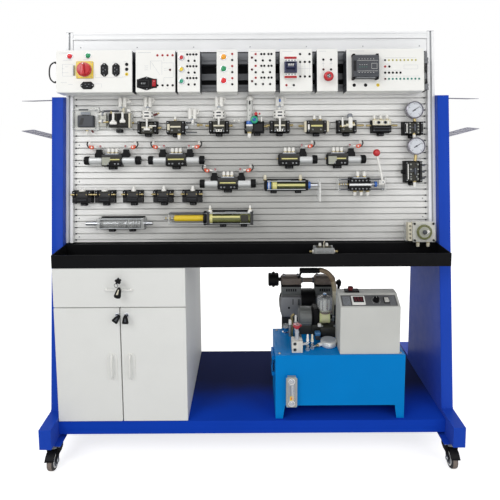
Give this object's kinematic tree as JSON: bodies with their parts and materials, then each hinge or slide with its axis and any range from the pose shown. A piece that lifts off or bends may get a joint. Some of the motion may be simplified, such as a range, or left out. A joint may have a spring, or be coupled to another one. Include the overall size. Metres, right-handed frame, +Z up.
{
  "type": "pneumatic hydraulic training workbench",
  "caption": "Wheeled training bench with a slotted leaning panel of valves, cylinders and electrical modules, drip tray, cabinet, oil power unit and air compressor.",
  "frame": {"origin": "middle of the bench's footprint, on the floor", "axes": "+X to the right seen from the front, +Y to the back, +Z up"},
  "size_m": [1.9326, 0.737, 1.7348],
  "materials": {
    "frame_blue": "semi-gloss powder coat",
    "tank_blue": "semi-gloss paint",
    "tray_black": "satin powder coat",
    "black_plastic": "matt",
    "cabinet_grey": "satin powder coat",
    "box_grey": "fine-textured paint",
    "aluminium": "anodised",
    "steel": "zinc plated",
    "module_white": "satin",
    "clear_plastic": "clear acrylic",
    "dark_grey": "satin",
    "red": "gloss",
    "yellow": "gloss",
    "green": "gloss"
  },
  "bodies": {
    "bench": {"right_side_frame": "frame_blue", "left_side_frame": "frame_blue", "base_shelf": "frame_blue", "drip_tray": "tray_black", "panel_frame": "aluminium", "upper_slotted_board": "aluminium", "lower_slotted_board": "aluminium", "double_solenoid_valve_1": "black_plastic", "double_solenoid_valve_2": "black_plastic", "double_solenoid_valve_3": "black_plastic", "single_solenoid_valve_1": "black_plastic", "single_solenoid_valve_2": "black_plastic", "lever_valve": "clear_plastic", "single_rod_cylinder": "clear_plastic", "double_rod_cylinder": "clear_plastic", "plunger_cylinder": "clear_plastic", "rotary_motor": "clear_plastic", "power_module": "module_white", "supply_module": "module_white", "button_module": "module_white", "lamp_module": "module_white", "relay_module": "module_white", "breaker_module": "module_white", "stop_module": "module_white", "controller_module": "module_white", "side_lead": "black_plastic", "right_lead_rack": "steel", "left_lead_rack": "steel", "cabinet_carcass": "cabinet_grey", "oil_tank": "tank_blue", "control_box": "box_grey", "air_compressor": "dark_grey", "pump_motor": "dark_grey", "relief_valve_block": "module_white", "loose_valve": "clear_plastic"},
    "valve_lever_body": {"valve_lever": "red"},
    "single_cylinder_rod_body": {"single_cylinder_rod": "steel"},
    "double_cylinder_rod_body": {"double_cylinder_rod": "steel"},
    "cylinder_plunger_body": {"cylinder_plunger": "yellow"},
    "main_switch_knob_body": {"main_switch_knob": "red"},
    "supply_rocker_body": {"supply_rocker": "red"},
    "red_push_button_body": {"red_push_button": "red"},
    "yellow_push_button_body": {"yellow_push_button": "yellow"},
    "green_push_button_body": {"green_push_button": "green"},
    "breaker_lever_body": {"breaker_lever": "module_white"},
    "stop_button_body": {"stop_button": "red"},
    "cabinet_drawer_body": {"cabinet_drawer": "cabinet_grey"},
    "left_door_body": {"left_door": "cabinet_grey"},
    "right_door_body": {"right_door": "cabinet_grey"},
    "drawer_key_body": {"drawer_key": "steel"},
    "speed_knob_body": {"speed_knob": "black_plastic"},
    "relief_handwheel_body": {"relief_handwheel": "red"},
    "front_left_caster_fork_body": {"front_left_caster_fork": "black_plastic"},
    "front_left_caster_wheel_body": {"front_left_caster_wheel": "dark_grey"},
    "front_right_caster_fork_body": {"front_right_caster_fork": "black_plastic"},
    "front_right_caster_wheel_body": {"front_right_caster_wheel": "dark_grey"},
    "rear_left_caster_fork_body": {"rear_left_caster_fork": "black_plastic"},
    "rear_left_caster_wheel_body": {"rear_left_caster_wheel": "dark_grey"},
    "rear_right_caster_fork_body": {"rear_right_caster_fork": "black_plastic"},
    "rear_right_caster_wheel_body": {"rear_right_caster_wheel": "dark_grey"}
  },
  "joints": [
    {"name": "front_left_swivel", "type": "hinge", "parent": "bench", "child": "front_left_caster_fork_body", "pos_m": [-0.7925, -0.3005, 0.09], "axis": [0, 0, 1], "continuous": true},
    {"name": "front_left_roll", "type": "hinge", "parent": "front_left_caster_fork_body", "child": "front_left_caster_wheel_body", "pos_m": [-0.7925, -0.3265, 0.0375], "axis": [1, 0, 0], "continuous": true},
    {"name": "front_right_swivel", "type": "hinge", "parent": "bench", "child": "front_right_caster_fork_body", "pos_m": [0.7925, -0.3005, 0.09], "axis": [0, 0, 1], "continuous": true},
    {"name": "front_right_roll", "type": "hinge", "parent": "front_right_caster_fork_body", "child": "front_right_caster_wheel_body", "pos_m": [0.7925, -0.3265, 0.0375], "axis": [1, 0, 0], "continuous": true},
    {"name": "rear_left_swivel", "type": "hinge", "parent": "bench", "child": "rear_left_caster_fork_body", "pos_m": [-0.7925, 0.3005, 0.09], "axis": [0, 0, 1], "continuous": true},
    {"name": "rear_left_roll", "type": "hinge", "parent": "rear_left_caster_fork_body", "child": "rear_left_caster_wheel_body", "pos_m": [-0.7925, 0.3265, 0.0375], "axis": [1, 0, 0], "continuous": true},
    {"name": "rear_right_swivel", "type": "hinge", "parent": "bench", "child": "rear_right_caster_fork_body", "pos_m": [0.7925, 0.3005, 0.09], "axis": [0, 0, 1], "continuous": true},
    {"name": "rear_right_roll", "type": "hinge", "parent": "rear_right_caster_fork_body", "child": "rear_right_caster_wheel_body", "pos_m": [0.7925, 0.3265, 0.0375], "axis": [1, 0, 0], "continuous": true},
    {"name": "drawer_slide", "type": "slide", "parent": "bench", "child": "cabinet_drawer_body", "axis": [0, -1, 0], "range_m": [0, 0.4]},
    {"name": "left_door_hinge", "type": "hinge", "parent": "bench", "child": "left_door_body", "pos_m": [-0.78, -0.281, 0.4], "axis": [0, 0, -1], "range_deg": [0, 90]},
    {"name": "right_door_hinge", "type": "hinge", "parent": "bench", "child": "right_door_body", "pos_m": [-0.259, -0.281, 0.4], "axis": [0, 0, 1], "range_deg": [0, 110]},
    {"name": "drawer_key_turn", "type": "hinge", "parent": "cabinet_drawer_body", "child": "drawer_key_body", "pos_m": [-0.5195, -0.29, 0.756], "axis": [0, 1, 0], "range_deg": [0, 90]},
    {"name": "main_switch_turn", "type": "hinge", "parent": "bench", "child": "main_switch_knob_body", "pos_m": [-0.669, -0.14012, 1.58254], "axis": [0, 0.992, -0.1262], "range_deg": [0, 90]},
    {"name": "supply_rocker_tip", "type": "hinge", "parent": "bench", "child": "supply_rocker_body", "pos_m": [-0.389, -0.13131, 1.52497], "axis": [1, 0, 0], "range_deg": [0, 20]},
    {"name": "red_button_press", "type": "slide", "parent": "bench", "child": "red_push_button_body", "axis": [0, 0.992, -0.1262], "range_m": [0, 0.0035], "stiffness_N_per_m": 500},
    {"name": "yellow_button_press", "type": "slide", "parent": "bench", "child": "yellow_push_button_body", "axis": [0, 0.992, -0.1262], "range_m": [0, 0.0035], "stiffness_N_per_m": 500},
    {"name": "green_button_press", "type": "slide", "parent": "bench", "child": "green_push_button_body", "axis": [0, 0.992, -0.1262], "range_m": [0, 0.0035], "stiffness_N_per_m": 500},
    {"name": "breaker_lever_tip", "type": "hinge", "parent": "bench", "child": "breaker_lever_body", "pos_m": [0.161, -0.16182, 1.58631], "axis": [1, 0, 0], "range_deg": [0, 70]},
    {"name": "stop_button_press", "type": "slide", "parent": "bench", "child": "stop_button_body", "axis": [0, 0.992, -0.1262], "range_m": [0, 0.005], "stiffness_N_per_m": 800},
    {"name": "valve_lever_swing", "type": "hinge", "parent": "bench", "child": "valve_lever_body", "pos_m": [0.551, -0.10733, 1.11365], "axis": [0, 0.992, -0.1262], "range_deg": [0, 23]},
    {"name": "single_cylinder_stroke", "type": "slide", "parent": "bench", "child": "single_cylinder_rod_body", "axis": [1, 0, 0], "range_m": [0, 0.06]},
    {"name": "double_cylinder_stroke", "type": "slide", "parent": "bench", "child": "double_cylinder_rod_body", "axis": [1, 0, 0], "range_m": [-0.035, 0.035]},
    {"name": "plunger_stroke", "type": "slide", "parent": "bench", "child": "cylinder_plunger_body", "axis": [1, 0, 0], "range_m": [0, 0.11]},
    {"name": "speed_knob_turn", "type": "hinge", "parent": "bench", "child": "speed_knob_body", "pos_m": [0.5028, -0.23, 0.6513], "axis": [0, 0.4903, -0.8716], "range_deg": [0, 270]},
    {"name": "relief_handwheel_turn", "type": "hinge", "parent": "bench", "child": "relief_handwheel_body", "pos_m": [0.184, -0.228, 0.54], "axis": [0, 0, 1], "range_deg": [-360, 360]}
  ]
}
